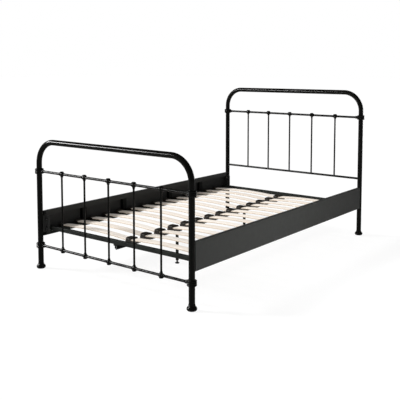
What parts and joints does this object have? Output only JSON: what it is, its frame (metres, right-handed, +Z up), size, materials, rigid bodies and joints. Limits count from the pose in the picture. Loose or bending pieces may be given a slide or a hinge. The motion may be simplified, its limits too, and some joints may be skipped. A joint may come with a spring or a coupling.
{
  "type": "metal bed frame",
  "caption": "Hoop-ended steel bed frame with railed head and foot boards, cast collars and knots, deep side panels and a bowed slat base.",
  "frame": {"origin": "on the floor, midway between the head and foot boards, on the centre line", "axes": "+Z up, +Y from the foot end towards the head end, +X to the right-hand side seen from the foot end"},
  "size_m": [1.303, 2.1178, 1.115],
  "materials": {
    "board_tube": "satin black powder coat",
    "casting": "satin black powder coat over a casting",
    "panel_steel": "satin dark grey-black powder coat on folded sheet",
    "base_steel": "satin black powder coat",
    "bolt_steel": "blackened zinc",
    "slat_wood": "pale veneer, clear sealed",
    "holder_plastic": "matt moulded",
    "glide_plastic": "matt moulded"
  },
  "bodies": {
    "frame": {"beam_bolts": "bolt_steel", "centre_beam": "base_steel", "foot_centre_leg": "base_steel", "foot_end_rail": "base_steel", "foot_hoop": "board_tube", "foot_lower_rail": "board_tube", "foot_post_collars": "casting", "foot_rail_knots": "casting", "foot_spindles": "board_tube", "foot_upper_rail": "board_tube", "head_centre_leg": "base_steel", "head_end_rail": "base_steel", "head_hoop": "board_tube", "head_lower_rail": "board_tube", "head_post_collars": "casting", "head_rail_knots": "casting", "head_spindles": "board_tube", "head_upper_rail": "board_tube", "left_side_panel": "panel_steel", "left_slat_01": "slat_wood", "left_slat_02": "slat_wood", "left_slat_03": "slat_wood", "left_slat_04": "slat_wood", "left_slat_05": "slat_wood", "left_slat_06": "slat_wood", "left_slat_07": "slat_wood", "left_slat_08": "slat_wood", "left_slat_09": "slat_wood", "left_slat_10": "slat_wood", "left_slat_11": "slat_wood", "left_slat_12": "slat_wood", "left_slat_13": "slat_wood", "left_slat_14": "slat_wood", "left_slat_ledge": "base_steel", "leg_screws": "bolt_steel", "panel_bolts": "bolt_steel", "panel_stiffeners": "base_steel", "post_brackets": "base_steel", "post_feet": "casting", "rail_bolts": "bolt_steel", "right_side_panel": "panel_steel", "right_slat_01": "slat_wood", "right_slat_02": "slat_wood", "right_slat_03": "slat_wood", "right_slat_04": "slat_wood", "right_slat_05": "slat_wood", "right_slat_06": "slat_wood", "right_slat_07": "slat_wood", "right_slat_08": "slat_wood", "right_slat_09": "slat_wood", "right_slat_10": "slat_wood", "right_slat_11": "slat_wood", "right_slat_12": "slat_wood", "right_slat_13": "slat_wood", "right_slat_14": "slat_wood", "right_slat_ledge": "base_steel", "slat_end_caps": "holder_plastic", "slat_holders": "holder_plastic"},
    "foot_leveller": {"foot_levelling_foot": "glide_plastic"},
    "head_leveller": {"head_levelling_foot": "glide_plastic"}
  },
  "joints": [
    {"name": "foot_leveller_screw", "type": "slide", "parent": "frame", "child": "foot_leveller", "axis": [0, 0, 1], "range_m": [-0.012, 0.008]},
    {"name": "head_leveller_screw", "type": "slide", "parent": "frame", "child": "head_leveller", "axis": [0, 0, 1], "range_m": [-0.012, 0.008]}
  ]
}
